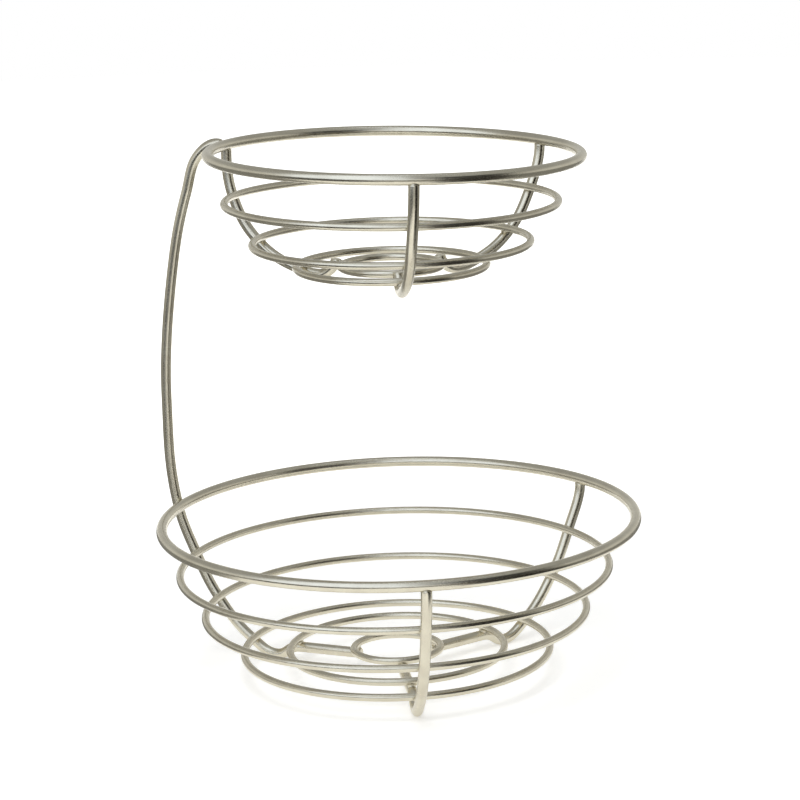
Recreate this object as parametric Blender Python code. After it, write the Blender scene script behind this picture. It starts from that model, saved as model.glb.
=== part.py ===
import bpy
import bmesh
import math
from mathutils import Vector

# Two tier fruit bowl of welded round wire
# Units are metres, +Z is up, the front of the stand looks along -Y and the three feet rest on z = 0.

MM = 0.001

# Wire and clearances
THICK_WIRE = 7.0 * MM
THIN_WIRE = 5.0 * MM
WELD_GAP = 0.3 * MM
FOOT_FLAT_DEPTH = 0.35 * MM

# Lower bowl: centreline radius and height of each ring
LOWER_RIM_RADIUS = 154.1 * MM
LOWER_RIM_HEIGHT = 103.6 * MM
LOWER_HOOP_HIGH_RADIUS = 140.0 * MM
LOWER_HOOP_HIGH_HEIGHT = 71.8 * MM
LOWER_HOOP_LOW_RADIUS = 124.8 * MM
LOWER_HOOP_LOW_HEIGHT = 42.8 * MM
LOWER_BASE_RADIUS = 100.5 * MM
LOWER_BASE_HEIGHT = 16.0 * MM
LOWER_INNER_RADIUS = 70.5 * MM
LOWER_CENTRE_RADIUS = 28.5 * MM

# Upper bowl: the rim's height is above the floor, and each drop is below the rim
UPPER_RIM_RADIUS = 118.2 * MM
UPPER_RIM_HEIGHT = 342.6 * MM
UPPER_HOOP_HIGH_RADIUS = 106.0 * MM
UPPER_HOOP_HIGH_DROP = 30.2 * MM
UPPER_HOOP_LOW_RADIUS = 88.7 * MM
UPPER_HOOP_LOW_DROP = 56.5 * MM
UPPER_BASE_RADIUS = 60.9 * MM
UPPER_BASE_DROP = 71.6 * MM
UPPER_INNER_RADIUS = 32.4 * MM

# The uprights push each rim over: it stands this far to the right of its own hoops
LOWER_RIM_SHIFT = 3.6 * MM
UPPER_RIM_SHIFT = 2.0 * MM

# The upper bowl hangs from one side only: its rim dips away from the post, its bottom rings less
UPPER_RIM_DIP = math.radians(1.65)
UPPER_BASE_DIP = math.radians(0.35)
UPPER_SHIFT = 4.6 * MM

# Places of the uprights around the bowls, turned from the front towards the right
LOWER_FRONT_AZIMUTH = math.radians(7.1)
UPPER_FRONT_AZIMUTH = math.radians(6.3)
RIGHT_AZIMUTH = math.radians(125.2)
POST_AZIMUTH = math.radians(-113.3)

# Rib ends and feet
RIB_TOP_HANDLE = 9.0 * MM
LOWER_FOOT_RADIUS = 88.0 * MM
LOWER_FOOT_HANDLE = 7.5 * MM
LOWER_TAIL_HANDLE = 9.0 * MM
UPPER_FOOT_RADIUS = 50.5 * MM
UPPER_FOOT_DROP = 7.8 * MM
UPPER_FOOT_HANDLE = 5.5 * MM
UPPER_HOOK_HANDLE = 4.5 * MM

# Side line of the post above the lower rim
POST_BOW_RADIUS = 162.2 * MM
POST_BOW_HEIGHT = 174.1 * MM
POST_BOW_HANDLE = 26.0 * MM
POST_LEAN_RADIUS = 152.9 * MM
POST_LEAN_DROP = 79.7 * MM
POST_NECK_RADIUS = 140.0 * MM
POST_NECK_DROP = 28.9 * MM
POST_SHOULDER_RADIUS = 128.4 * MM
POST_SHOULDER_DROP = 2.0 * MM
POST_CREST_HANDLE = 5.0 * MM
POST_CREST_SLOPE = math.radians(12.3)

# Facets
RIM_STEPS = 72
RIM_SIDES = 10
HOOP_STEPS = 66
HOOP_SIDES = 8
SMALL_RING_STEPS = 44
ROD_RESOLUTION = 2
RIB_STEPS = 5
POST_STEPS = 6
MERGE_DISTANCE = 0.01 * MM
CUTTER_REACH = 2.0

# Satin nickel plated steel
NICKEL_COLOUR = (0.560, 0.530, 0.468, 1.0)
NICKEL_ROUGHNESS = 0.32
NICKEL_METALLIC = 1.0

thick_radius = THICK_WIRE / 2
thin_radius = THIN_WIRE / 2
rib_reach = thick_radius + thin_radius + WELD_GAP
post_reach = thick_radius + thick_radius + WELD_GAP
foot_height = thick_radius - FOOT_FLAT_DEPTH


# Start from an empty file
for old in list(bpy.data.objects):
    bpy.data.objects.remove(old, do_unlink=True)

bowl = bpy.data.collections.new("fruit_bowl")
bpy.context.scene.collection.children.link(bowl)
cutters = bpy.data.collections.new("cutters")
bpy.context.scene.collection.children.link(cutters)


def give_nickel(obj):
    """Each piece carries its own satin nickel material."""
    material = bpy.data.materials.new(obj.name + "_nickel")
    material.use_nodes = True
    shader = material.node_tree.nodes["Principled BSDF"]
    shader.inputs["Base Color"].default_value = NICKEL_COLOUR
    shader.inputs["Roughness"].default_value = NICKEL_ROUGHNESS
    shader.inputs["Metallic"].default_value = NICKEL_METALLIC
    obj.data.materials.clear()
    obj.data.materials.append(material)


def smooth(mesh):
    """Round wire is shaded smooth, and only the cut ends stay crisp."""
    mesh.shade_smooth()
    mesh.set_sharp_from_angle(angle=math.radians(50))


def ring(name, ring_radius, height, wire_radius, steps, sides):
    """One closed ring of wire, lying level around the bowl's axis."""
    bpy.ops.mesh.primitive_torus_add(
        location=(0, 0, height),
        rotation=(0, 0, LOWER_FRONT_AZIMUTH - math.pi / 2),
        major_segments=steps,
        minor_segments=sides,
        major_radius=ring_radius,
        minor_radius=wire_radius,
    )
    obj = bpy.context.active_object
    obj.name = name
    obj.data.name = name
    for holder in list(obj.users_collection):
        holder.objects.unlink(obj)
    bowl.objects.link(obj)
    smooth(obj.data)
    give_nickel(obj)
    return obj


def beside(inner, crossing, outer, reach):
    """Where an upright passes outside a hoop, measured square to the bowl's wall."""
    wall = Vector((0, 0))
    if inner is not None:
        wall += (crossing - inner).normalized()
    wall += (outer - crossing).normalized()
    out = Vector((wall.y, -wall.x)).normalized()
    return crossing + out * reach


def reach_to(ring_radius, shift, azimuth):
    """How far out a ring lies at an azimuth, when its centre stands to the right of the axis."""
    along = shift * math.sin(azimuth)
    return along + math.sqrt(ring_radius ** 2 - shift ** 2 + along ** 2)


def rod_mesh(name, knots, steps):
    """A bent round rod through knots of (radius, height, handle), flat at both ends."""
    curve = bpy.data.curves.new(name, "CURVE")
    curve.dimensions = "3D"
    curve.bevel_depth = thick_radius
    curve.bevel_resolution = ROD_RESOLUTION
    curve.use_fill_caps = True
    curve.resolution_u = steps
    curve.render_resolution_u = steps
    spline = curve.splines.new("BEZIER")
    spline.bezier_points.add(len(knots) - 1)
    for point, (place, handle) in zip(spline.bezier_points, knots):
        point.co = (place.x, 0, place.y)
        point.handle_left_type = "AUTO"
        point.handle_right_type = "AUTO"
        if handle is not None:
            point.handle_left_type = "FREE"
            point.handle_right_type = "FREE"
            point.handle_left = (place.x - handle.x, 0, place.y - handle.y)
            point.handle_right = (place.x + handle.x, 0, place.y + handle.y)
    drawn = bpy.data.objects.new(name + "_line", curve)
    bowl.objects.link(drawn)
    bpy.context.view_layer.update()
    graph = bpy.context.evaluated_depsgraph_get()
    mesh = bpy.data.meshes.new_from_object(drawn.evaluated_get(graph))
    mesh.name = name
    bpy.data.objects.remove(drawn, do_unlink=True)
    work = bmesh.new()
    work.from_mesh(mesh)
    bmesh.ops.remove_doubles(work, verts=work.verts, dist=MERGE_DISTANCE)
    bmesh.ops.recalc_face_normals(work, faces=work.faces)
    work.to_mesh(mesh)
    work.free()
    smooth(mesh)
    return mesh


def stand_rod(name, mesh, azimuth, axis_x):
    """Set a bent rod in its upright plane through the hoops' axis, at its place around the bowl."""
    obj = bpy.data.objects.new(name, mesh)
    obj.location = (axis_x, 0, 0)
    obj.rotation_euler = (0, 0, azimuth - math.pi / 2)
    bowl.objects.link(obj)
    give_nickel(obj)
    return obj


def flatten_foot(obj):
    """Grind a small flat under the foot so that it stands on a face."""
    cut = obj.modifiers.new("foot_flat", "BOOLEAN")
    cut.operation = "DIFFERENCE"
    cut.solver = "EXACT"
    cut.object = floor_cutter


# Cutter for the flats under the three feet: everything below the floor
bpy.ops.mesh.primitive_cube_add(size=1)
floor_cutter = bpy.context.active_object
floor_cutter.name = "floor_cutter"
for holder in list(floor_cutter.users_collection):
    holder.objects.unlink(floor_cutter)
cutters.objects.link(floor_cutter)
floor_cutter.dimensions = (LOWER_RIM_RADIUS * CUTTER_REACH, LOWER_RIM_RADIUS * CUTTER_REACH, THICK_WIRE)
floor_cutter.location = (0, 0, -THICK_WIRE / 2)
floor_cutter.hide_render = True
floor_cutter.display_type = "WIRE"


# Lower bowl rings
lower_rim = ring("lower_rim", LOWER_RIM_RADIUS, LOWER_RIM_HEIGHT, thick_radius, RIM_STEPS, RIM_SIDES)
lower_hoops = (
    ("lower_hoop_high", LOWER_HOOP_HIGH_RADIUS, LOWER_HOOP_HIGH_HEIGHT, HOOP_STEPS),
    ("lower_hoop_low", LOWER_HOOP_LOW_RADIUS, LOWER_HOOP_LOW_HEIGHT, HOOP_STEPS),
    ("lower_base_ring", LOWER_BASE_RADIUS, LOWER_BASE_HEIGHT, HOOP_STEPS),
    ("lower_inner_ring", LOWER_INNER_RADIUS, LOWER_BASE_HEIGHT, HOOP_STEPS),
    ("lower_centre_ring", LOWER_CENTRE_RADIUS, LOWER_BASE_HEIGHT, SMALL_RING_STEPS),
)
for name, ring_radius, height, steps in lower_hoops:
    hoop = ring(name, ring_radius, height, thin_radius, steps, HOOP_SIDES)
    hoop.location.x = -LOWER_RIM_SHIFT


def lean_back(drop):
    """The lower an upper ring hangs, the more it leans back from the rim's dip."""
    return (UPPER_RIM_DIP - UPPER_BASE_DIP) * drop / UPPER_BASE_DROP


def upper_crossing(ring_radius, drop, azimuth):
    """Where a leaning upper ring crosses the upright plane of a rib, seen from the rim's height."""
    lift = ring_radius * math.sin(azimuth) * math.sin(lean_back(drop))
    return Vector((ring_radius, lift - drop))


# Upper bowl rings: all ride on the upper rim, which carries the dip and the shift
upper_rim = ring("upper_rim", UPPER_RIM_RADIUS, UPPER_RIM_HEIGHT, thick_radius, RIM_STEPS, RIM_SIDES)
upper_rim.location = (UPPER_SHIFT, 0, UPPER_RIM_HEIGHT)
upper_rim.rotation_euler = (0, UPPER_RIM_DIP, 0)
upper_hoops = (
    ("upper_hoop_high", UPPER_HOOP_HIGH_RADIUS, UPPER_HOOP_HIGH_DROP, HOOP_STEPS),
    ("upper_hoop_low", UPPER_HOOP_LOW_RADIUS, UPPER_HOOP_LOW_DROP, HOOP_STEPS),
    ("upper_base_ring", UPPER_BASE_RADIUS, UPPER_BASE_DROP, HOOP_STEPS),
    ("upper_inner_ring", UPPER_INNER_RADIUS, UPPER_BASE_DROP, SMALL_RING_STEPS),
)
for name, ring_radius, drop, steps in upper_hoops:
    hoop = ring(name, ring_radius, -drop, thin_radius, steps, HOOP_SIDES)
    hoop.parent = upper_rim
    hoop.location.x = -UPPER_RIM_SHIFT
    hoop.rotation_euler = (0, -lean_back(drop), 0)


# Centre points of the wires on the bowls' side lines
rim = Vector((LOWER_RIM_RADIUS, LOWER_RIM_HEIGHT))
hoop_high = Vector((LOWER_HOOP_HIGH_RADIUS, LOWER_HOOP_HIGH_HEIGHT))
hoop_low = Vector((LOWER_HOOP_LOW_RADIUS, LOWER_HOOP_LOW_HEIGHT))
base = Vector((LOWER_BASE_RADIUS, LOWER_BASE_HEIGHT))
lower_wall = (
    (beside(hoop_low, hoop_high, rim, rib_reach), None),
    (beside(base, hoop_low, hoop_high, rib_reach), None),
    (beside(None, base, hoop_low, rib_reach), None),
)

# The foot curls under the base ring and its tail runs level beneath the two inner rings
tail_height = LOWER_BASE_HEIGHT - rib_reach
lower_foot = (
    (Vector((LOWER_FOOT_RADIUS, foot_height)), Vector((-LOWER_FOOT_HANDLE, 0))),
    (Vector((LOWER_INNER_RADIUS, tail_height)), Vector((-LOWER_TAIL_HANDLE, 0))),
    (Vector((LOWER_CENTRE_RADIUS - thin_radius, tail_height)), Vector((-LOWER_TAIL_HANDLE, 0))),
)
for name, azimuth in (("lower_front_rib", LOWER_FRONT_AZIMUTH), ("lower_right_rib", RIGHT_AZIMUTH)):
    rim_place = reach_to(LOWER_RIM_RADIUS, LOWER_RIM_SHIFT, azimuth)
    under_rim = Vector((rim_place, LOWER_RIM_HEIGHT - thick_radius - WELD_GAP))
    lower_line = ((under_rim, Vector((0, -RIB_TOP_HANDLE))),) + lower_wall + lower_foot
    rib = stand_rod(name, rod_mesh(name, lower_line, RIB_STEPS), azimuth, -LOWER_RIM_SHIFT)
    flatten_foot(rib)

# The third rib of the lower bowl runs on past the rim as the post that carries the upper bowl
# Its end comes down onto the outside of the dipped upper rim, square to the rim's wire
upper_rim_shift = LOWER_RIM_SHIFT + UPPER_SHIFT
upper_rim_place = reach_to(UPPER_RIM_RADIUS, upper_rim_shift, POST_AZIMUTH)
rim_lift = (upper_rim_shift - upper_rim_place * math.sin(POST_AZIMUTH)) * math.sin(UPPER_RIM_DIP)
rim_centre = Vector((upper_rim_place, UPPER_RIM_HEIGHT + rim_lift))
crest_way = Vector((math.cos(POST_CREST_SLOPE), math.sin(POST_CREST_SLOPE)))
lower_rim_place = reach_to(LOWER_RIM_RADIUS, LOWER_RIM_SHIFT, POST_AZIMUTH)
post_top = (
    (rim_centre + crest_way * (thick_radius + WELD_GAP), crest_way * POST_CREST_HANDLE),
    (Vector((POST_SHOULDER_RADIUS, UPPER_RIM_HEIGHT - POST_SHOULDER_DROP)), None),
    (Vector((POST_NECK_RADIUS, UPPER_RIM_HEIGHT - POST_NECK_DROP)), None),
    (Vector((POST_LEAN_RADIUS, UPPER_RIM_HEIGHT - POST_LEAN_DROP)), None),
    (Vector((POST_BOW_RADIUS, POST_BOW_HEIGHT)), Vector((0, -POST_BOW_HANDLE))),
    (Vector((lower_rim_place + post_reach, LOWER_RIM_HEIGHT)), None),
)
post_mesh = rod_mesh("stand_post", post_top + lower_wall + lower_foot, POST_STEPS)
post = stand_rod("stand_post", post_mesh, POST_AZIMUTH, -LOWER_RIM_SHIFT)
flatten_foot(post)

# Upper ribs: each hangs under the rim, passes outside the hoops and hooks up beside the inner ring
# Their side lines are drawn from the rim's height, so they dip and shift with the rim
upper_places = (
    ("upper_front_rib", UPPER_FRONT_AZIMUTH),
    ("upper_right_rib", RIGHT_AZIMUTH),
    ("upper_left_rib", POST_AZIMUTH),
)
for name, azimuth in upper_places:
    rim = Vector((reach_to(UPPER_RIM_RADIUS, UPPER_RIM_SHIFT, azimuth), 0))
    hoop_high = upper_crossing(UPPER_HOOP_HIGH_RADIUS, UPPER_HOOP_HIGH_DROP, azimuth)
    hoop_low = upper_crossing(UPPER_HOOP_LOW_RADIUS, UPPER_HOOP_LOW_DROP, azimuth)
    base = upper_crossing(UPPER_BASE_RADIUS, UPPER_BASE_DROP, azimuth)
    inner = upper_crossing(UPPER_INNER_RADIUS, UPPER_BASE_DROP, azimuth)
    upper_line = (
        (rim - Vector((0, thick_radius + WELD_GAP)), Vector((0, -RIB_TOP_HANDLE))),
        (beside(hoop_low, hoop_high, rim, rib_reach), None),
        (beside(base, hoop_low, hoop_high, rib_reach), None),
        (beside(None, base, hoop_low, rib_reach), None),
        (Vector((UPPER_FOOT_RADIUS, base.y - UPPER_FOOT_DROP)), Vector((-UPPER_FOOT_HANDLE, 0))),
        (inner + Vector((rib_reach, thin_radius)), Vector((0, UPPER_HOOK_HANDLE))),
    )
    rib = stand_rod(name, rod_mesh(name, upper_line, RIB_STEPS), azimuth, -UPPER_RIM_SHIFT)
    rib.parent = upper_rim
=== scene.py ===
# %% [markdown]
# # A two tier fruit bowl of satin nickel wire
#
# The real stand is bent and welded from two sizes of round steel wire, then polished and
# nickel plated. A wide bowl stands on three curled feet. The third upright of that bowl runs
# on past the rim as a post, bows outward and carries a smaller bowl.
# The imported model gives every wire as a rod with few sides. Here each one is drawn again on
# the same line as a smooth wire, and the weld beads and the finish are added.

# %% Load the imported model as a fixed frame
import math

import bmesh
import bpy
import numpy as np
from mathutils import Matrix, Vector, noise


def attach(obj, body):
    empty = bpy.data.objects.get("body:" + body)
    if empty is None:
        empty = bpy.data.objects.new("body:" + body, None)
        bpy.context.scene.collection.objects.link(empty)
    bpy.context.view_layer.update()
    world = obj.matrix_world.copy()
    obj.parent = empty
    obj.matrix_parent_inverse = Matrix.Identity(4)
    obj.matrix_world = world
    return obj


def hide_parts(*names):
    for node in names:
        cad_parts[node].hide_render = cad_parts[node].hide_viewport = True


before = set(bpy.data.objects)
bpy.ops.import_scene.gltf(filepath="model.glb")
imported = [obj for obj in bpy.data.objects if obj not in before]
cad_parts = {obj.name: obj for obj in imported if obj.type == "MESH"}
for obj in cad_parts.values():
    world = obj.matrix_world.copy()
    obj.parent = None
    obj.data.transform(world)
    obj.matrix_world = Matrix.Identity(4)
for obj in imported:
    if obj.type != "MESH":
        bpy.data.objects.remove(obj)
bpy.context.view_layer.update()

# %% [markdown]
# ## Sizes
#
# A maker would read these from the drawing: two wire sizes, then the radius and height of
# each ring. They repeat the solid model's sizes in metres, because this file can't open it.
# The rims are a little smaller, since a smooth ring reaches further out than one with
# corners. The stand was welded by hand: each rim stands a little to the right of its own
# hoops, and the upper bowl hangs from one side, so its rim dips and its bottom less so.

# %% Wire sizes and ring sizes
MM = 0.001
THICK = 3.5 * MM
THIN = 2.5 * MM
WELD_GAP = 0.3 * MM

LOWER_RIM = Vector((153.98, 103.6)) * MM
LOWER_HOOP_HIGH = Vector((140.0, 71.8)) * MM
LOWER_HOOP_LOW = Vector((124.8, 42.8)) * MM
LOWER_BASE = Vector((100.5, 16.0)) * MM
LOWER_INNER = Vector((70.5, 16.0)) * MM
LOWER_CENTRE = Vector((28.5, 16.0)) * MM

UPPER_RIM = Vector((118.1, 0.0)) * MM
UPPER_HOOP_HIGH = Vector((106.0, -30.2)) * MM
UPPER_HOOP_LOW = Vector((88.7, -56.5)) * MM
UPPER_BASE = Vector((60.9, -71.6)) * MM
UPPER_INNER = Vector((32.4, -71.6)) * MM
UPPER_HEIGHT = 342.6 * MM
UPPER_SHIFT = 4.6 * MM

LOWER_RIM_SHIFT = 3.6 * MM
UPPER_RIM_SHIFT = 2.0 * MM
RIM_DIP = math.radians(1.65)
BASE_DIP = math.radians(0.35)

# Places for the drawn wires: both rims, and the axes of their hoops a little to the left
LOWER_RIM_PLACE = Matrix.Identity(4)
LOWER_PLACE = Matrix.Translation((-LOWER_RIM_SHIFT, 0, 0))
UPPER_RIM_PLACE = (Matrix.Translation((UPPER_SHIFT, 0, UPPER_HEIGHT))
                   @ Matrix.Rotation(RIM_DIP, 4, "Y"))
UPPER_PLACE = UPPER_RIM_PLACE @ Matrix.Translation((-UPPER_RIM_SHIFT, 0, 0))
print("lower bowl", round(2 * (LOWER_RIM.x + THICK) / MM, 1), "mm wide,",
      "upper bowl", round(2 * (UPPER_RIM.x + THICK) / MM, 1), "mm wide")

# %% [markdown]
# ## Colours, nodes and objects
#
# Paint charts and colour pickers give sRGB hex values, while shaders work with linear light.
# One function turns the first into the second. Another adds a node with its settings and its
# links in one call, so that each material below reads as a list of what the surface has.
# Two more start an empty finish and put an object in the scene.

# %% Turn a hex colour into linear light
def linear(hex_colour):
    """The linear RGBA of an sRGB hex colour."""
    shares = [int(hex_colour[i:i + 2], 16) / 255 for i in (1, 3, 5)]
    return [s / 12.92 if s <= 0.04045 else ((s + 0.055) / 1.055) ** 2.4 for s in shares] + [1.0]


print("middle grey #808080 is", [round(v, 3) for v in linear("#808080")])


# %% Add one node with its settings and links
def add(tree, kind, settings=None, links=None):
    """Settings are the node's own options, or values of its sockets by name or number."""
    node = tree.nodes.new(kind)
    for name, value in (settings or {}).items():
        if isinstance(name, str) and hasattr(node, name):
            setattr(node, name, value)
        else:
            node.inputs[name].default_value = value
    for name, source in (links or {}).items():
        tree.links.new(source, node.inputs[name])
    return node


# %% Start a finish, and put an object in the scene
def new_finish(name):
    """A new material with an empty node tree."""
    material = bpy.data.materials.new(name)
    material.use_nodes = True
    material.node_tree.nodes.clear()
    return material, material.node_tree


def put(name, data):
    """A new object in the scene."""
    piece = bpy.data.objects.new(name, data)
    bpy.context.scene.collection.objects.link(piece)
    return piece


# %% [markdown]
# ## Satin nickel
#
# Satin nickel is bright nickel plating over wire that was polished with a grit belt while it
# turned. The belt leaves fine grooves that run around the wire, finer than this picture can
# show. That is why the bands of light on a hoop stay crisp across the wire but smear along
# it, and why the sides of a ring, which are seen lengthwise, look matte. An anisotropic metal
# with its tangent along the wire gives that look. The grooves themselves are drawn about a
# millimetre wide, as coarse as they need to be to show, and very faint.

# %% Draw the grooves of the belt
GROOVE_BREAK = 25 * MM


def belt_grooves(tree, here, groove_width):
    """Noise that changes fast along the wire and slowly over the object."""
    line = add(tree, "ShaderNodeUVMap", {"uv_map": "wire"})
    along = add(tree, "ShaderNodeSeparateXYZ", links={"Vector": line.outputs["UV"]})
    count = add(tree, "ShaderNodeMath", {"operation": "MULTIPLY", 1: 1 / groove_width},
                {0: along.outputs["X"]})
    run = add(tree, "ShaderNodeCombineXYZ", links={"X": count.outputs[0]})
    slow = add(tree, "ShaderNodeVectorMath",
               {"operation": "MULTIPLY", 1: [1 / GROOVE_BREAK] * 3}, {0: here})
    both = add(tree, "ShaderNodeVectorMath", {"operation": "ADD"},
               {0: slow.outputs[0], 1: run.outputs[0]})
    noise_settings = {"Scale": 1.0, "Detail": 1.0, "Roughness": 0.5}
    return add(tree, "ShaderNodeTexNoise", noise_settings,
               {"Vector": both.outputs[0]}).outputs["Fac"]


# %% Colour the plating
PLATE_PATCH = 15.4 * MM


def plate_colour(tree, here, light_hex, shade_hex, grooves):
    """Thicker and thinner patches of plating, warmer or greyer, toned a touch by the grooves."""
    patches = add(tree, "ShaderNodeTexNoise", {"Scale": 1 / PLATE_PATCH, "Detail": 2.0},
                  {"Vector": here})
    share = add(tree, "ShaderNodeMapRange", {"From Min": 0.35, "From Max": 0.65},
                {"Value": patches.outputs["Fac"]})
    plate = add(tree, "ShaderNodeMix",
                {"data_type": "RGBA", 6: linear(light_hex), 7: linear(shade_hex)},
                {0: share.outputs[0]})
    tone = add(tree, "ShaderNodeMapRange",
               {"From Min": 0.3, "From Max": 0.7, "To Min": 0.99, "To Max": 1.005},
               {"Value": grooves})
    return add(tree, "ShaderNodeVectorMath", {"operation": "SCALE"},
               {0: plate.outputs[2], "Scale": tone.outputs[0]}).outputs[0]


# %% Make satin nickel for one size of wire
WEAR_PATCH = 35.7 * MM
WEAR = 0.02
GROOVE_DEPTH = 0.02 * MM


def satin_nickel(name, light_hex, shade_hex, roughness, groove_width):
    """Nickel plate over belt polished steel wire: warm grey, smeared along the wire."""
    material, tree = new_finish(name)
    here = add(tree, "ShaderNodeTexCoord").outputs["Object"]
    grooves = belt_grooves(tree, here, groove_width)
    colour = plate_colour(tree, here, light_hex, shade_hex, grooves)
    # Handling and plating make some stretches a touch softer than others
    wear = add(tree, "ShaderNodeTexNoise", {"Scale": 1 / WEAR_PATCH, "Detail": 4.0},
               {"Vector": here})
    gloss = add(tree, "ShaderNodeMapRange",
                {"From Min": 0.3, "From Max": 0.7,
                 "To Min": roughness - WEAR, "To Max": roughness + WEAR},
                {"Value": wear.outputs["Fac"]})
    dents = add(tree, "ShaderNodeBump", {"Strength": 0.03, "Distance": GROOVE_DEPTH},
                {"Height": grooves})
    tangent = add(tree, "ShaderNodeTangent", {"direction_type": "UV_MAP", "uv_map": "wire"})
    metal = add(tree, "ShaderNodeBsdfPrincipled", {"Metallic": 1.0, "Anisotropic": 0.5},
                {"Base Color": colour, "Roughness": gloss.outputs[0],
                 "Normal": dents.outputs[0], "Tangent": tangent.outputs[0]})
    add(tree, "ShaderNodeOutputMaterial", links={"Surface": metal.outputs[0]})
    return material


thick_nickel = satin_nickel("satin_nickel_on_7_mm_wire", "#d8d2bf", "#cfc8b5", 0.26, 1.2 * MM)
thin_nickel = satin_nickel("satin_nickel_on_5_mm_wire", "#d6d0bd", "#cdc6b3", 0.25, 1.0 * MM)
print("finishes:", thick_nickel.name, "and", thin_nickel.name)

# %% [markdown]
# ## Plated weld beads
#
# Where two wires cross they are pressed together and welded by current, and a little metal is
# squeezed out around the contact. The plating covers it, but the belt doesn't reach it, so a
# bead has no grooves: it is slightly pebbled and catches light as a small bright dot.

# %% Make the finish of the beads
PEBBLE = 0.714 * MM
HEAT_PATCH = 3.33 * MM
PEBBLE_DEPTH = 0.1 * MM


def plated_weld():
    """Nickel plate over squeezed out weld metal: pebbled, without grooves."""
    material, tree = new_finish("nickel_plated_weld_bead")
    here = add(tree, "ShaderNodeTexCoord").outputs["Object"]
    pebbles = add(tree, "ShaderNodeTexNoise", {"Scale": 1 / PEBBLE, "Detail": 2.0},
                  {"Vector": here})
    heat = add(tree, "ShaderNodeTexNoise", {"Scale": 1 / HEAT_PATCH, "Detail": 1.0},
               {"Vector": here})
    tint = add(tree, "ShaderNodeMix",
               {"data_type": "RGBA", 6: linear("#d6d0bd"), 7: linear("#c8c1ae")},
               {0: heat.outputs["Fac"]})
    gloss = add(tree, "ShaderNodeMapRange", {"To Min": 0.22, "To Max": 0.34},
                {"Value": pebbles.outputs["Fac"]})
    dents = add(tree, "ShaderNodeBump", {"Strength": 0.2, "Distance": PEBBLE_DEPTH},
                {"Height": pebbles.outputs["Fac"]})
    metal = add(tree, "ShaderNodeBsdfPrincipled", {"Metallic": 1.0},
                {"Base Color": tint.outputs[2], "Roughness": gloss.outputs[0],
                 "Normal": dents.outputs[0]})
    add(tree, "ShaderNodeOutputMaterial", links={"Surface": metal.outputs[0]})
    return material


weld_nickel = plated_weld()
print("finish:", weld_nickel.name)

# %% [markdown]
# ## A wire from its line
#
# Every piece of this stand is one round wire, closed into a ring or bent along a flat line.
# A curve with a bevel would do for the shape. Here the tube is built point by point, because
# the finish needs to know how far along the wire it is, in metres, and a curve only counts
# from 0 to 1. Each point of the line gets a circle of vertices. The UV map keeps the length
# along the wire in U and the way around it in V.

# %% Round the ends of a wire
SOFT_END = 0.6 * MM
# How far in from the end, and how much off the radius, as shares of the soft length
END_SHARES = ((0.0, 1.0), (0.12, 0.52), (0.45, 0.16))
CLEAR_SHARE = 1.3


def rounded_ends(points, forward, radius):
    """The ends are sawn and lightly tumbled, so their edges are rounded."""
    bites = [(inset * SOFT_END, radius - bite * SOFT_END) for inset, bite in END_SHARES]
    first = [points[0] + forward[0] * inset for inset, _ in bites]
    last = [points[-1] - forward[-1] * inset for inset, _ in reversed(bites)]
    start = points[0] + forward[0] * SOFT_END
    end = points[-1] - forward[-1] * SOFT_END
    keep = np.linalg.norm(points - points[0], axis=1) > CLEAR_SHARE * SOFT_END
    keep &= np.linalg.norm(points - points[-1], axis=1) > CLEAR_SHARE * SOFT_END
    narrow = [r for _, r in bites]
    radii = np.array(narrow + [radius] * (keep.sum() + 2) + narrow[::-1])
    stops = len(bites) + 1
    directions = np.vstack([[forward[0]] * stops, forward[keep], [forward[-1]] * stops])
    return np.vstack([first, [start], points[keep], [end], last]), directions, radii


# %% Skin a wire and measure along it
SIDES = 28


def wire_skin(points, vertices_each, radius, closed):
    """Faces and UVs of the tube, with the UVs in metres along and around the wire."""
    steps = np.linalg.norm(np.diff(points, axis=0), axis=1)
    travelled = np.concatenate([[0], np.cumsum(steps)])
    spans = len(points) - 1
    if closed:
        spans = len(points)
        travelled = np.append(travelled, travelled[-1] + np.linalg.norm(points[0] - points[-1]))
    faces, uvs = [], []
    side_width = 2 * math.pi * radius / vertices_each
    for i in range(spans):
        here, there = i * vertices_each, (i + 1) % len(points) * vertices_each
        for k in range(vertices_each):
            n = (k + 1) % vertices_each
            faces.append((here + k, there + k, there + n, here + n))
            near, far = k * side_width, (k + 1) * side_width
            uvs += [(travelled[i], near), (travelled[i + 1], near),
                    (travelled[i + 1], far), (travelled[i], far)]
    if not closed:
        last = (len(points) - 1) * vertices_each
        faces.append(tuple(range(vertices_each)))
        faces.append(tuple(reversed(range(last, last + vertices_each))))
        uvs += [(travelled[0], 0)] * vertices_each + [(travelled[-1], 0)] * vertices_each
    return faces, uvs


# %% Sweep a round wire along a flat line
SHARP_WIRE = math.radians(50)


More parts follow.
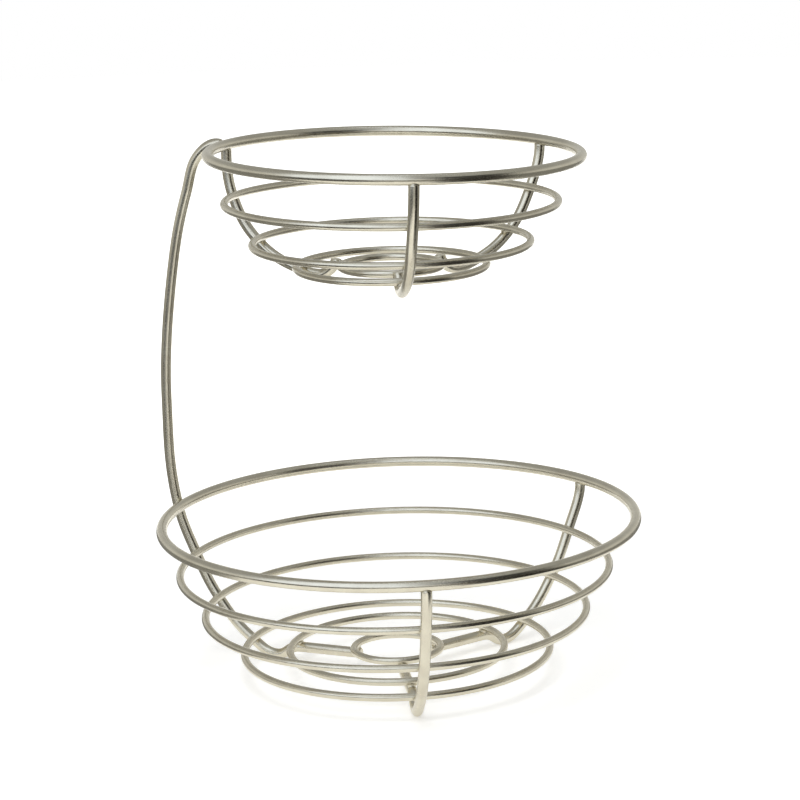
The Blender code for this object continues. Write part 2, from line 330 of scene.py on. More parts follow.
def wire(name, line, side, radius, closed, finish, place, node):
    """A smooth wire along points of a line that lies flat across the direction side."""
    points = np.array(line, float)
    if closed:
        ahead, behind = np.roll(points, -1, 0), np.roll(points, 1, 0)
    else:
        ahead = np.vstack([points[1:], points[-1:]])
        behind = np.vstack([points[:1], points[:-1]])
    forward = ahead - behind
    forward /= np.linalg.norm(forward, axis=1)[:, None]
    radii = np.full(len(points), radius)
    if not closed:
        points, forward, radii = rounded_ends(points, forward, radius)
    side = np.array(side, float)
    out = np.cross(forward, side)
    turn = np.arange(SIDES) * 2 * math.pi / SIDES
    circles = (out[:, None, :] * np.cos(turn)[None, :, None]
               + side[None, None, :] * np.sin(turn)[None, :, None])
    vertices = (points[:, None, :] + circles * radii[:, None, None]).reshape(-1, 3)
    faces, uvs = wire_skin(points, SIDES, radius, closed)
    mesh = bpy.data.meshes.new(name)
    mesh.from_pydata(vertices.tolist(), [], faces)
    mesh.uv_layers.new(name="wire").data.foreach_set("uv", np.array(uvs, np.float32).ravel())
    mesh.validate()
    mesh.shade_smooth()
    mesh.set_sharp_from_angle(angle=SHARP_WIRE)
    mesh.materials.append(finish)
    piece = put(name, mesh)
    piece.matrix_world = place
    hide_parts(node)
    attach(piece, "root")
    return piece


# %% [markdown]
# ## The rings
#
# A ring is wire coiled on a former, cut to one turn and butt welded. The lower bowl has six
# and the upper bowl five. Only the two rims are of the thicker wire.

# %% Draw every ring
RING_POINTS = 360
WOBBLE = 0.04 * MM


def ring_line(ring_radius, wobble, seed):
    """Points round a ring. The former leaves it round to a few hundredths of a millimetre."""
    turns = np.arange(RING_POINTS) * 2 * math.pi / RING_POINTS
    waves = (0.5 * np.sin(3 * turns + seed) + 0.3 * np.sin(7 * turns + 2 * seed)
             + 0.2 * np.sin(13 * turns + 3 * seed))
    radius = ring_radius - wobble * (1 + waves)
    height = wobble * 0.7 * np.sin(5 * turns + 1.7 * seed)
    return np.stack([radius * np.cos(turns), radius * np.sin(turns), height], 1)


def lean_back(centre):
    """How much an upper ring leans back from the rim's dip, in proportion to its drop."""
    return (RIM_DIP - BASE_DIP) * centre.y / UPPER_BASE.y


rings = (
    ("lower_rim", LOWER_RIM, THICK, LOWER_RIM_PLACE),
    ("lower_hoop_high", LOWER_HOOP_HIGH, THIN, LOWER_PLACE),
    ("lower_hoop_low", LOWER_HOOP_LOW, THIN, LOWER_PLACE),
    ("lower_base_ring", LOWER_BASE, THIN, LOWER_PLACE),
    ("lower_inner_ring", LOWER_INNER, THIN, LOWER_PLACE),
    ("lower_centre_ring", LOWER_CENTRE, THIN, LOWER_PLACE),
    ("upper_rim", UPPER_RIM, THICK, UPPER_RIM_PLACE),
    ("upper_hoop_high", UPPER_HOOP_HIGH, THIN, UPPER_PLACE),
    ("upper_hoop_low", UPPER_HOOP_LOW, THIN, UPPER_PLACE),
    ("upper_base_ring", UPPER_BASE, THIN, UPPER_PLACE),
    ("upper_inner_ring", UPPER_INNER, THIN, UPPER_PLACE),
)
for seed, (node, centre, radius, place) in enumerate(rings):
    finish = thick_nickel if radius == THICK else thin_nickel
    own_height = Matrix.Translation((0, 0, centre.y))
    if place == UPPER_PLACE:
        own_height = own_height @ Matrix.Rotation(-lean_back(centre), 4, "Y")
    ring = wire(node + "_wire", ring_line(centre.x, WOBBLE, seed), (0, 0, 1), radius, True,
                finish, place @ own_height, node)
    print(ring.name, len(ring.data.polygons), "faces")

# %% [markdown]
# ## Where an upright passes a hoop
#
# The uprights touch each hoop from outside. The touching point isn't simply beside the hoop:
# the wall slopes, so the upright stands off square to the slope, by both wire radii and the
# small gap that the bead fills.

# %% Place an upright outside a hoop
RIB_REACH = THICK + THIN + WELD_GAP
POST_REACH = THICK + THICK + WELD_GAP


def beside(inner, crossing, outer, reach):
    """The upright's centre where it passes a hoop, given the wall's points on either side."""
    wall = (outer - crossing).normalized()
    if inner is not None:
        wall += (crossing - inner).normalized()
    return crossing + Vector((wall.y, -wall.x)).normalized() * reach


def wall_points(rim, hoop_high, hoop_low, base):
    """The upright's centres where it passes the two hoops and the base ring."""
    return (beside(hoop_low, hoop_high, rim, RIB_REACH),
            beside(base, hoop_low, hoop_high, RIB_REACH),
            beside(None, base, hoop_low, RIB_REACH))


def reach_to(ring_radius, shift, azimuth):
    """How far out a ring lies at an azimuth, when its centre stands to the right of the axis."""
    along = shift * math.sin(azimuth)
    return along + math.sqrt(ring_radius ** 2 - shift ** 2 + along ** 2)


lower_wall = wall_points(LOWER_RIM, LOWER_HOOP_HIGH, LOWER_HOOP_LOW, LOWER_BASE)
print("the lower rib passes at", [tuple(round(v / MM, 1) for v in p) for p in lower_wall], "mm")


# %% [markdown]
# ## The line of an upright
#
# An upright is bent from straight wire over a few pins, so its line runs smoothly through the
# points that matter. A Bezier curve does the same: its automatic handles make the fair curve
# between the pins, and free handles fix the direction at the ends and under the foot. Blender
# works the curve out, and its points become the line that the wire is swept along.

# %% Turn knots into a smooth line
STEPS_BETWEEN_KNOTS = 28


def bent_line(knots):
    """Points of a smooth line through knots of (place, handle), in an upright plane."""
    curve = bpy.data.curves.new("line", "CURVE")
    curve.dimensions = "3D"
    curve.resolution_u = STEPS_BETWEEN_KNOTS
    curve.render_resolution_u = STEPS_BETWEEN_KNOTS
    spline = curve.splines.new("BEZIER")
    spline.bezier_points.add(len(knots) - 1)
    for point, (place, handle) in zip(spline.bezier_points, knots):
        point.co = (place.x, 0, place.y)
        point.handle_left_type = point.handle_right_type = "AUTO"
        if handle is not None:
            point.handle_left_type = point.handle_right_type = "FREE"
            point.handle_left = (place.x - handle.x, 0, place.y - handle.y)
            point.handle_right = (place.x + handle.x, 0, place.y + handle.y)
    drawn = put("line", curve)
    bpy.context.view_layer.update()
    graph = bpy.context.evaluated_depsgraph_get()
    mesh = bpy.data.meshes.new_from_object(drawn.evaluated_get(graph))
    points = [tuple(v.co) for v in mesh.vertices]
    bpy.data.objects.remove(drawn, do_unlink=True)
    bpy.data.meshes.remove(mesh)
    return points


def down(length):
    """A handle straight down, in metres."""
    return Vector((0, -length))


def inward(length):
    """A level handle towards the axis."""
    return Vector((-length, 0))


# %% [markdown]
# ## Feet and uprights of the lower bowl
#
# Each foot is the upright itself, curled under the base ring. Its tail runs level beneath the
# two inner rings and carries them. The upright starts under the rim, where its end is welded.
# In the scene that end runs 0.7 mm into the rim, as the weld presses it in.

# %% Set the uprights' places and the foot
LOWER_FRONT = math.radians(7.1)
UPPER_FRONT = math.radians(6.3)
RIGHT = math.radians(125.2)
POST = math.radians(-113.3)

PRESSED = 1.0 * MM
START_HANDLE = 9.0 * MM
TAIL_HANDLE = 9.0 * MM
FOOT_HANDLE = 7.5 * MM
FOOT = Vector((88.0, 3.15)) * MM
TAIL_HEIGHT = LOWER_BASE.y - RIB_REACH
lower_foot = (
    (FOOT, inward(FOOT_HANDLE)),
    (Vector((LOWER_INNER.x, TAIL_HEIGHT)), inward(TAIL_HANDLE)),
    (Vector((LOWER_CENTRE.x - THIN, TAIL_HEIGHT)), inward(TAIL_HANDLE)),
)
wall_knots = tuple((point, None) for point in lower_wall)
print("the tails run", round(TAIL_HEIGHT / MM, 1), "mm above the table")


# %% Bend the two lower ribs
def turned(azimuth):
    """Turn an upright plane around the axis, from the front towards the right."""
    return Matrix.Rotation(azimuth - math.pi / 2, 4, "Z")


def flat_under(piece):
    """The table wears a small flat under each foot."""
    for vertex in piece.data.vertices:
        vertex.co.z = max(vertex.co.z, 0.0)


lower_starts = {}
for node, azimuth in (("lower_front_rib", LOWER_FRONT), ("lower_right_rib", RIGHT)):
    rim_place = reach_to(LOWER_RIM.x, LOWER_RIM_SHIFT, azimuth)
    start = Vector((rim_place, LOWER_RIM.y - THICK - WELD_GAP))
    lower_starts[azimuth] = start
    line = bent_line(((start, down(START_HANDLE)),) + wall_knots + lower_foot)
    line.insert(0, (start.x, 0, start.y + PRESSED))
    rib = wire(node + "_wire", line, (0, 1, 0), THICK, False, thick_nickel,
               LOWER_PLACE @ turned(azimuth), node)
    flat_under(rib)
    lowest = min(v.co.z for v in rib.data.vertices)
    print(rib.name, "stands on z =", round(lowest / MM, 2), "mm")

# %% [markdown]
# ## The post
#
# The third upright goes on upward. It passes outside the lower rim, bows out, leans back in and
# bends over, so that its end comes down onto the outside of the upper rim, square to the wire.
# Where it ends follows from the dip and the shift of that rim.

# %% Find where the post ends
CREST_SLOPE = math.radians(11.5)
rim_out = reach_to(UPPER_RIM.x, LOWER_RIM_SHIFT + UPPER_SHIFT, POST)
rim_lift = (LOWER_RIM_SHIFT + UPPER_SHIFT - rim_out * math.sin(POST)) * math.sin(RIM_DIP)
post_joint = Vector((rim_out, UPPER_HEIGHT + rim_lift))
crest_way = Vector((math.cos(CREST_SLOPE), math.sin(CREST_SLOPE)))
post_end = post_joint + crest_way * (THICK + WELD_GAP)
print("the post ends", round(post_end.y / MM, 1), "mm above the table")

# %% Bend the post
CREST_HANDLE = 5.0 * MM
BOW_HANDLE = 26.0 * MM
BOW = Vector((162.2, 174.1)) * MM
# The bend over the crest, as places out from the axis and drops below the upper rim
SHOULDER = ((128.4 * MM, 2.2 * MM), (140.0 * MM, 28.9 * MM), (152.9 * MM, 79.7 * MM))
beside_rim = Vector((reach_to(LOWER_RIM.x, LOWER_RIM_SHIFT, POST) + POST_REACH, LOWER_RIM.y))
post_knots = (
    (post_end, crest_way * CREST_HANDLE),
    *((Vector((out, UPPER_HEIGHT - drop)), None) for out, drop in SHOULDER),
    (BOW, down(BOW_HANDLE)),
    (beside_rim, None),
)
post_line = bent_line(post_knots + wall_knots + lower_foot)
pressed_end = post_end - crest_way * PRESSED
post_line.insert(0, (pressed_end.x, 0, pressed_end.y))
post = wire("stand_post_wire", post_line, (0, 1, 0), THICK, False, thick_nickel,
            LOWER_PLACE @ turned(POST), "stand_post")
flat_under(post)
post_length = sum(math.dist(a, b) for a, b in zip(post_line, post_line[1:]))
print("the post is", round(post_length, 3), "m of wire")

# %% [markdown]
# ## Uprights of the upper bowl
#
# These are shorter and have no foot to stand on: they curl under the bottom ring and hook up
# beside the inner ring. They are drawn from the upper rim's height and placed with its dip.
# Since the lower rings lean back a little, each upright meets them at heights of its own.

# %% Bend the three upper ribs
UPPER_CURL = Vector((50.5, -7.8)) * MM
CURL_HANDLE = 5.5 * MM
HOOK_HANDLE = 4.5 * MM
upper_ribs = {}


def upper_crossing(centre, azimuth):
    """Where a leaning upper ring crosses the plane of an upright."""
    lift = centre.x * math.sin(azimuth) * math.sin(lean_back(centre))
    return Vector((centre.x, centre.y + lift))


upper_places = (("upper_front", UPPER_FRONT), ("upper_right", RIGHT), ("upper_left", POST))
for side_name, azimuth in upper_places:
    node = side_name + "_rib"
    rim = Vector((reach_to(UPPER_RIM.x, UPPER_RIM_SHIFT, azimuth), 0))
    high, low, base, inner = (
        upper_crossing(centre, azimuth)
        for centre in (UPPER_HOOP_HIGH, UPPER_HOOP_LOW, UPPER_BASE, UPPER_INNER))
    wall = wall_points(rim, high, low, base)
    start = rim - Vector((0, THICK + WELD_GAP))
    line = bent_line((
        (start, down(START_HANDLE)),
        *((point, None) for point in wall),
        (Vector((UPPER_CURL.x, base.y + UPPER_CURL.y)), inward(CURL_HANDLE)),
        (inner + Vector((RIB_REACH, THIN)), Vector((0, HOOK_HANDLE))),
    ))
    line.insert(0, (start.x, 0, start.y + PRESSED))
    rib = wire(node + "_wire", line, (0, 1, 0), THICK, False, thick_nickel,
               UPPER_PLACE @ turned(azimuth), node)
    upper_ribs[azimuth] = (rim, start, (high, low, base), wall, inner)
    print(rib.name, len(rib.data.vertices), "vertices")


# %% [markdown]
# ## Weld beads
#
# At a crossing the squeezed out metal fills the corner between the two wires: it climbs the
# side of the upright and spreads on the hoop. A bead is built as a skin between two uneven
# loops, one lying on each wire, with the rows between them pulled in a little. At the rim the
# end of the upright stands on the side of the wire, so that bead is a collar around the end.

# %% Build the skin of a bead between two loops
BEAD_ROWS = 6
LUMPS_PER_METRE = 700   # lumps about 1.4 mm across
LUMP_SHARE = 0.05


def skin(first, last, pull, seed):
    """Vertices and faces of a closed skin from one loop of points to another."""
    middle = (sum(first, Vector()) + sum(last, Vector())) / (2 * len(first))
    count = len(first)
    vertices = []
    for row in range(BEAD_ROWS + 1):
        share = row / BEAD_ROWS
        for a, b in zip(first, last):
            point = a.lerp(b, share)
            lump = noise.noise(point * LUMPS_PER_METRE + Vector((seed, 0, 0))) * LUMP_SHARE
            point += (point - middle) * (lump - pull) * math.sin(math.pi * share)
            vertices.append(point)
    faces = []
    for start in range(0, BEAD_ROWS * count, count):
        for k in range(count):
            n = (k + 1) % count
            faces.append((start + k, start + n, start + count + n, start + count + k))
    faces.append(tuple(reversed(range(count))))
    faces.append(tuple(range(BEAD_ROWS * count, (BEAD_ROWS + 1) * count)))
    return vertices, faces


# %% Shape the bead at a crossing
BEAD_POINTS = 28
BEAD_ON_WIRE = 0.74     # how far the bead goes round each wire, as a share of its radius
BEAD_SUNK = 0.1 * MM    # how deep each loop lies in its wire
CROSSING_PULL = 0.06
ACROSS = Vector((0, 1, 0))


def bead_turns(seed, unevenness):
    """Cosine, sine and an uneven share for each point round a bead."""
    for k in range(BEAD_POINTS):
        turn = 2 * math.pi * k / BEAD_POINTS
        c, s = math.cos(turn), math.sin(turn)
        yield c, s, 1 + unevenness * noise.noise(Vector((c * 1.5, s * 1.5, seed)))


def falls_away(radius, across):
    """How far a round wire has fallen away at a distance across from its top."""
    return radius - math.sqrt(radius ** 2 - across ** 2)


def crossing_bead(hoop, upright, hoop_radius, upright_radius, seed, spread=0.94):
    """The bead where an upright passes a hoop, both given as points of the upright's plane."""
    out = Vector((upright.x - hoop.x, 0, upright.y - hoop.y)).normalized()
    run = ACROSS.cross(out)
    gap = ((upright - hoop).length - hoop_radius - upright_radius) / 2
    centre = Vector((hoop.x, 0, hoop.y)) + out * (hoop_radius + gap)
    on_upright, on_hoop = [], []
    for c, s, uneven in bead_turns(seed, 0.12):
        x, y = upright_radius * BEAD_ON_WIRE * c, hoop_radius * spread * uneven * s
        lift = gap + falls_away(upright_radius, x) + BEAD_SUNK
        on_upright.append(centre + ACROSS * x + run * y + out * lift)
        x, y = upright_radius * spread * uneven * c, hoop_radius * BEAD_ON_WIRE * s
        drop = gap + falls_away(hoop_radius, y) + BEAD_SUNK
        on_hoop.append(centre + ACROSS * x + run * y - out * drop)
    return skin(on_upright, on_hoop, CROSSING_PULL, seed)


# %% Shape the collar at the end of an upright
COLLAR_LOW, COLLAR_RISE = 0.1 * MM, 0.2 * MM    # over the rim, and more at its sides
COLLAR_WIDE = 0.2 * MM                          # past the upright
COLLAR_SUNK = 0.15 * MM
COLLAR_TIGHT = 0.985
COLLAR_ON_RIM = 0.72
COLLAR_PULL = 0.05


def end_bead(ring, end, ring_radius, upright_radius, seed):
    """The collar where the end of an upright stands on the side of a ring."""
    out = Vector((end.x - ring.x, 0, end.y - ring.y)).normalized()
    run = ACROSS.cross(out)
    centre = Vector((ring.x, 0, ring.y))
    on_upright, on_ring = [], []
    tight = upright_radius * COLLAR_TIGHT
    for c, s, uneven in bead_turns(seed, 0.15):
        lift = ring_radius + (COLLAR_LOW + COLLAR_RISE * c * c) * uneven
        on_upright.append(centre + ACROSS * tight * c + run * tight * s + out * lift)
        x, y = (upright_radius + COLLAR_WIDE * uneven) * c, ring_radius * COLLAR_ON_RIM * s
        height = math.sqrt(ring_radius ** 2 - y ** 2) - COLLAR_SUNK
        on_ring.append(centre + ACROSS * x + run * y + out * height)
    return skin(on_upright, on_ring, COLLAR_PULL, seed)


# %% Join the beads of one upright into a piece
SHARP_BEAD = math.radians(60)


def beads(name, parts, azimuth, place):
    """One mesh with all the beads along an upright."""
    vertices, faces = [], []
    for points, own_faces in parts:
        start = len(vertices)
        vertices += points
        faces += [tuple(i + start for i in face) for face in own_faces]
    mesh = bpy.data.meshes.new(name)
    mesh.from_pydata(vertices, [], faces)
    work = bmesh.new()
    work.from_mesh(mesh)
    bmesh.ops.recalc_face_normals(work, faces=work.faces)
    work.to_mesh(mesh)
    work.free()
    mesh.shade_smooth()
    mesh.set_sharp_from_angle(angle=SHARP_BEAD)
    mesh.materials.append(weld_nickel)
    piece = put(name, mesh)
    piece.matrix_world = place @ turned(azimuth)
    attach(piece, "root")
    print(name, len(parts), "beads")
    return piece


# %% Weld the lower bowl and the post
SEEDS_EACH = 9          # seeds kept for the beads of one upright
POST_SPREAD = 0.5       # the post's bead at the lower rim is small and round
lower_crossings = (
    *zip((LOWER_HOOP_HIGH, LOWER_HOOP_LOW, LOWER_BASE), lower_wall, (0, 1, 2)),
    (LOWER_INNER, Vector((LOWER_INNER.x, TAIL_HEIGHT)), 4),
    (LOWER_CENTRE, Vector((LOWER_CENTRE.x, TAIL_HEIGHT)), 5),
)
lower_places = (("lower_front", LOWER_FRONT), ("lower_right", RIGHT), ("post", POST))
for i, (side_name, azimuth) in enumerate(lower_places):
    seed = i * SEEDS_EACH
    parts = [crossing_bead(hoop, passing, THIN, THICK, seed + own)
             for hoop, passing, own in lower_crossings]
    if azimuth == POST:
        rim = beside_rim - Vector((POST_REACH, 0))
        parts.append(crossing_bead(rim, beside_rim, THICK, THICK, 31, POST_SPREAD))
        parts.append(end_bead(post_joint, post_end, THICK, THICK, 40))
    else:
        start = lower_starts[azimuth]
        rim = start + Vector((0, THICK + WELD_GAP))
        parts.append(end_bead(rim, start, THICK, THICK, seed + 6))
    beads(side_name + "_beads", parts, azimuth, LOWER_PLACE)

# %% Weld the upper bowl
UPPER_SEED = 50
for i, (side_name, azimuth) in enumerate(upper_places):
    seed = UPPER_SEED + i * SEEDS_EACH
    rim, start, hoops, wall, inner = upper_ribs[azimuth]
    parts = [crossing_bead(hoop, passing, THIN, THICK, seed + own)
             for own, (hoop, passing) in enumerate(zip(hoops, wall))]
    parts.append(crossing_bead(inner, inner + Vector((RIB_REACH, 0)), THIN, THICK, seed + 7))
    parts.append(end_bead(rim, start, THICK, THICK, seed + 6))
    beads(side_name + "_beads", parts, azimuth, UPPER_PLACE)

# %% [markdown]
# ## The camera
#
# A product picture is taken from far off with a long lens, so that the bowls keep their true
# shape. This camera stands 1.7 m away, a little above the upper bowl's height, looks down by
# 12.7 degrees and is rolled by 1.8 degrees, as the picture is.

# %% Set the camera at the picture's angle
PITCH, ROLL = 0.22213, -0.03147
CAMERA_PLACE = (0.00332, -1.69946, 0.56678)
LENS_MM, SENSOR_MM = 121.58, 36.0
sideways = Vector((1, 0, 0))
ahead = Vector((0, math.cos(PITCH), -math.sin(PITCH)))
level_up = sideways.cross(ahead)
right = sideways * math.cos(ROLL) + level_up * math.sin(ROLL)
upward = level_up * math.cos(ROLL) - sideways * math.sin(ROLL)
lens = bpy.data.cameras.new("product_camera")
lens.lens = LENS_MM
lens.sensor_width = SENSOR_MM
camera = put("product_camera", lens)
facing = Matrix((right, upward, -ahead)).transposed().to_4x4()
camera.matrix_world = Matrix.Translation(CAMERA_PLACE) @ facing
bpy.context.scene.camera = camera
print("the camera is", round(camera.location.length, 2), "m from the foot of the stand")

# %% [markdown]
# ## The white set
#
# The stand is on a matt white board, in front of white paper. The camera and the metal see
# the paper as plain white. The board keeps the soft shadow, because its paint is lit by the
# lamps and the room. On top of that a glow of 0.38, where 1 is white, is added near the stand
# for the camera and for reflections only. Further off it grows to 1, as white as the paper.

# %% Tell the rays that see the background from those that only bring light
def seen_rays(tree):
    """1 for rays from the camera, in a reflection or through glass."""
    path = add(tree, "ShaderNodeLightPath")
    either = add(tree, "ShaderNodeMath", {"operation": "MAXIMUM"},
                 {0: path.outputs["Is Camera Ray"], 1: path.outputs["Is Glossy Ray"]})
    return add(tree, "ShaderNodeMath", {"operation": "MAXIMUM"},
               {0: either.outputs[0], 1: path.outputs["Is Transmission Ray"]}).outputs[0]


# %% Mix the paint of the board
ORANGE_PEEL = 2 * MM
PEEL_DEPTH = 0.1 * MM
WASH_NEAR = 0.38                # what is added near the stand, where 1 is white
WASH_FROM, WASH_TO = 0.3, 0.8   # metres from the middle, between which it grows to 1


def white_board_paint():
    """Rolled matt paint with a faint orange peel, washed out to white further off."""
    material, tree = new_finish("matt_white_painted_board")
    here = add(tree, "ShaderNodeTexCoord").outputs["Object"]
    peel = add(tree, "ShaderNodeTexNoise", {"Scale": 1 / ORANGE_PEEL, "Detail": 2.0},
               {"Vector": here})
    paint = add(tree, "ShaderNodeMix",
                {"data_type": "RGBA", 6: linear("#f4f4f2"), 7: linear("#f7f7f5")},
                {0: peel.outputs["Fac"]})
    dents = add(tree, "ShaderNodeBump", {"Strength": 0.1, "Distance": PEEL_DEPTH},
                {"Height": peel.outputs["Fac"]})
    matt = add(tree, "ShaderNodeBsdfDiffuse",
               links={"Color": paint.outputs[2], "Normal": dents.outputs[0]})
    away = add(tree, "ShaderNodeVectorMath", {"operation": "LENGTH"}, {0: here})
    wash = add(tree, "ShaderNodeMapRange",
               {"interpolation_type": "SMOOTHSTEP", "From Min": WASH_FROM, "From Max": WASH_TO,
                "To Min": WASH_NEAR, "To Max": 1.0}, {"Value": away.outputs["Value"]})
    share = add(tree, "ShaderNodeMath", {"operation": "MULTIPLY"},
                {0: seen_rays(tree), 1: wash.outputs[0]})
    glow = add(tree, "ShaderNodeEmission", {"Color": (1, 1, 1, 1)},
               {"Strength": share.outputs[0]})
    both = add(tree, "ShaderNodeAddShader", links={0: matt.outputs[0], 1: glow.outputs[0]})
    add(tree, "ShaderNodeOutputMaterial", links={"Surface": both.outputs[0]})
    return material


# %% Lay the board
BOARD_RADIUS = 4.0
BOARD_SIDES = 96
corners = np.arange(BOARD_SIDES) * 2 * math.pi / BOARD_SIDES
edge = [(BOARD_RADIUS * math.cos(a), BOARD_RADIUS * math.sin(a), 0) for a in corners]
board_mesh = bpy.data.meshes.new("white_board")
board_mesh.from_pydata(edge, [], [tuple(range(BOARD_SIDES))])
board_mesh.materials.append(white_board_paint())
board = put("white_board", board_mesh)
print("board", round(board.dimensions.x, 1), "m across")

# %% Fill the room with plain light
ROOM_LIGHT = 0.48
world = bpy.data.worlds.new("white_studio")
bpy.context.scene.world = world
world.use_nodes = True
room = world.node_tree
room.nodes.clear()
soft_light = add(room, "ShaderNodeBackground",
                 {"Color": linear("#f6f7f8"), "Strength": ROOM_LIGHT})
white_paper = add(room, "ShaderNodeBackground", {"Color": (1, 1, 1, 1), "Strength": 1.0})
surround = add(room, "ShaderNodeMixShader",
               links={0: seen_rays(room), 1: soft_light.outputs[0], 2: white_paper.outputs[0]})
add(room, "ShaderNodeOutputWorld", links={"Surface": surround.outputs[0]})
print("room light", ROOM_LIGHT)

# %% [markdown]
# ## Cloths and cards for the reflections
#
# Bright metal has hardly any look of its own, it shows the room. White paper alone would make
# it flat. A product studio hangs cloths over the set, lays them on the floor further off and
# stands dark cards around it, so that the metal shows dark lines beside the white of the lit
# cloth and of the board. These things are made for reflections only, so no camera sees them
# and they cast no shadow. They take no light from the lamps: each one glows at the tone of its
# cloth as if evenly lit, so their light is painted, and the hung cloth is painted darker
# higher up, as painted shade.

# %% Make the felt of the cloths and the cards, which glows with painted light
NAP = 3.03 * MM
FAR = 3.6               # metres from the stand to the furthest cloths
# The hung felt's darkening between these angles is painted shade
GRADE_ANGLES = (14, 34) # degrees above the floor, between which the hung felt darkens
GRADE_FROM, GRADE_TO = (FAR * math.sin(math.radians(angle)) for angle in GRADE_ANGLES)


def felt(name, low_hex, high_hex=None, low=0.0, high=1.0):
    """Felt with a fine nap that glows with painted light at its cloth's tone, from its tone at
    one height to its tone at another.
    """
    material, tree = new_finish(name)
    here = add(tree, "ShaderNodeTexCoord").outputs["Object"]
    nap = add(tree, "ShaderNodeTexNoise", {"Scale": 1 / NAP, "Detail": 1.0}, {"Vector": here})
    height = add(tree, "ShaderNodeSeparateXYZ", links={"Vector": here})
    # The change of tone with height is painted shade on the hung felt, darker higher up
    lit = add(tree, "ShaderNodeMapRange",
              {"interpolation_type": "SMOOTHSTEP", "From Min": low, "From Max": high},
              {"Value": height.outputs["Z"]})
    colour = add(tree, "ShaderNodeMix",
                 {"data_type": "RGBA", 6: linear(low_hex), 7: linear(high_hex or low_hex)},
                 {0: lit.outputs[0]})
    tone = add(tree, "ShaderNodeMapRange", {"To Min": 0.94, "To Max": 1.06},
               {"Value": nap.outputs["Fac"]})
    glow = add(tree, "ShaderNodeEmission",
               links={"Color": colour.outputs[2], "Strength": tone.outputs[0]})
    add(tree, "ShaderNodeOutputMaterial", links={"Surface": glow.outputs[0]})
    return material


# The hung felt is painted darker higher up, as painted shade
hung_felt_painted_shade = felt("hung_felt_with_painted_shade", "#dadad7", "#a8a9a8", GRADE_FROM, GRADE_TO)
side_felt = felt("hung_side_felt", "#a9abac")
black_felt = felt("black_felt", "#2b2926")
dark_felt = felt("dark_grey_felt", "#565654")
middle_felt = felt("middle_grey_felt", "#b4b4b0")
grey_felt = felt("grey_felt", "#8e8e8b")
print("the hung felt darkens from", round(GRADE_FROM, 2), "to", round(GRADE_TO, 2), "m up")

# %% Make the lit cloth of the lamp
WEAVE = 4 * MM
CLOTH_BRIGHTNESS = 1.55


def lamp_cloth(name, hex_colour, brightness):
    """Diffuser cloth lit from behind, with a weave that varies it by a twentieth."""
    material, tree = new_finish(name)
    here = add(tree, "ShaderNodeTexCoord").outputs["Object"]
    weave = add(tree, "ShaderNodeTexNoise", {"Scale": 1 / WEAVE, "Detail": 1.0},
                {"Vector": here})
    tone = add(tree, "ShaderNodeMapRange",
               {"To Min": 0.95 * brightness, "To Max": 1.05 * brightness},
               {"Value": weave.outputs["Fac"]})
    glow = add(tree, "ShaderNodeEmission", {"Color": linear(hex_colour)},
               {"Strength": tone.outputs[0]})
    add(tree, "ShaderNodeOutputMaterial", links={"Surface": glow.outputs[0]})
    return material


white_cloth = lamp_cloth("lit_diffuser_cloth", "#e7f0ff", CLOTH_BRIGHTNESS)
print("finish:", white_cloth.name)


# %% Sweep a sheet round the stand
SHEET_BENDS = 40


def reflected_sheet(name, azimuth_from, azimuth_to, profile, finish):
    """A staged sheet between two azimuths in degrees, along (distance, height) points."""
    step = (azimuth_to - azimuth_from) / SHEET_BENDS
    turns = [math.radians(azimuth_from + step * i) for i in range(SHEET_BENDS + 1)]
    vertices = [(distance * math.sin(a), -distance * math.cos(a), z)
                for distance, z in profile for a in turns]
    row = SHEET_BENDS + 1
    faces = [(j * row + i, j * row + i + 1, (j + 1) * row + i + 1, (j + 1) * row + i)
             for j in range(len(profile) - 1) for i in range(SHEET_BENDS)]
    mesh = bpy.data.meshes.new(name)
    mesh.from_pydata(vertices, [], faces)
    mesh.materials.append(finish)
    piece = put(name, mesh)
    piece.visible_camera = False
    piece.visible_diffuse = False
    piece.visible_shadow = False
    piece.visible_transmission = False
    return piece


# %% Give the sheets their profiles
ABOVE_BOARD = 2 * MM
DOME_STEPS = 20


def dome(radius, low, high):
    """(distance, height) points over the set, between two angles above the floor in degrees."""
    lifts = [math.radians(low + (high - low) * i / DOME_STEPS) for i in range(DOME_STEPS + 1)]
    return [(radius * math.cos(a), radius * math.sin(a)) for a in lifts]


def on_floor(near, far):
    """(distance, height) points of a cloth that lies on the board."""
    return [(near, ABOVE_BOARD), (far, ABOVE_BOARD)]


def standing(distance, top):
    """(distance, height) points of a card that stands on the board."""
    return [(distance, ABOVE_BOARD), (distance, top)]


# %% Hang the cloths, lay the floor cloths and stand the cards
LAMP_CLOTH_AWAY = 2.0
FRONT_CARD_AWAY, FRONT_CARD_TOP = 2.2, 0.4
RIGHT_CARD_AWAY, RIGHT_CARD_TOP = 0.9, 1.05
front_card = standing(FRONT_CARD_AWAY, FRONT_CARD_TOP)
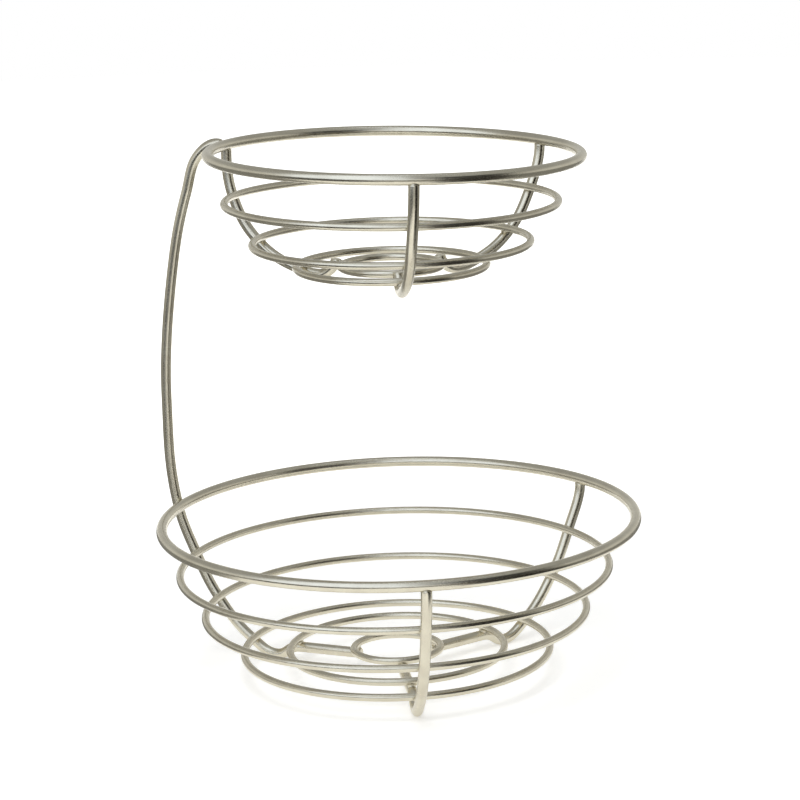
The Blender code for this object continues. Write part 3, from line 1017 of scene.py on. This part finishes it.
# Each sheet's name, its azimuths from and to in degrees, its profile and its finish
sheets = (
    ("back_cloth", 72, 290, dome(FAR, 0, 90), hung_felt_painted_shade),
    ("right_cloth", 8, 72, dome(FAR, 20, 90), side_felt),
    ("lamp_cloth", -66, 8, dome(LAMP_CLOTH_AWAY, 9, 104), white_cloth),
    ("left_floor_cloth", -150, -66, on_floor(0.17, FAR), grey_felt),
    ("front_left_floor_cloth", -66, -14, on_floor(0.5, FRONT_CARD_AWAY), dark_felt),
    ("front_floor_cloth", -14, 22, on_floor(0.6, FRONT_CARD_AWAY), middle_felt),
    ("front_right_floor_cloth", 22, 70, on_floor(0.27, RIGHT_CARD_AWAY), black_felt),
    ("right_floor_cloth", 70, 150, on_floor(0.27, FAR), grey_felt),
    ("front_left_card", -66, -14, front_card, dark_felt),
    ("front_card", -14, 22, front_card, grey_felt),
    ("front_right_card", 22, 70, standing(RIGHT_CARD_AWAY, RIGHT_CARD_TOP), black_felt),
)
for name, azimuth_from, azimuth_to, profile, finish in sheets:
    reflected_sheet(name, azimuth_from, azimuth_to, profile, finish)
print(len(sheets), "cloths and cards, the furthest", FAR, "m away")

# %% [markdown]
# ## Soft lamps
#
# Two soft lamps light the board. The large one over the left front makes the soft shadow, and
# the smaller one behind opens it. The metal doesn't mirror them: the brightest white that it
# shows is the lit cloth, which hangs in about the same direction as the large lamp.

# %% Set the soft lamps
AIM = Vector((0, 0, 0.15))


def soft_lamp(name, azimuth, height, distance, width, depth, brightness):
    """A rectangular soft lamp aimed at the stand; brightness 1 is as bright as white."""
    lamp = bpy.data.lights.new(name, "AREA")
    lamp.shape = "RECTANGLE"
    lamp.size, lamp.size_y = width, depth
    lamp.energy = brightness * math.pi * width * depth
    holder = put(name, lamp)
    holder.visible_camera = False
    holder.visible_glossy = False
    turn, lift = math.radians(azimuth), math.radians(height)
    direction = Vector((math.sin(turn) * math.cos(lift), -math.cos(turn) * math.cos(lift),
                        math.sin(lift)))
    holder.location = AIM + direction * distance
    holder.rotation_euler = (-direction).to_track_quat("-Z", "Y").to_euler()
    print(name, "takes", round(lamp.energy, 2), "W")
    return holder


soft_lamp("key_softbox", azimuth=-24, height=56, distance=1.3, width=0.9, depth=1.8,
          brightness=2.2)
soft_lamp("back_softbox", azimuth=150, height=50, distance=1.8, width=0.9, depth=0.6,
          brightness=1.2)
bpy.context.scene.view_settings.view_transform = "Standard"
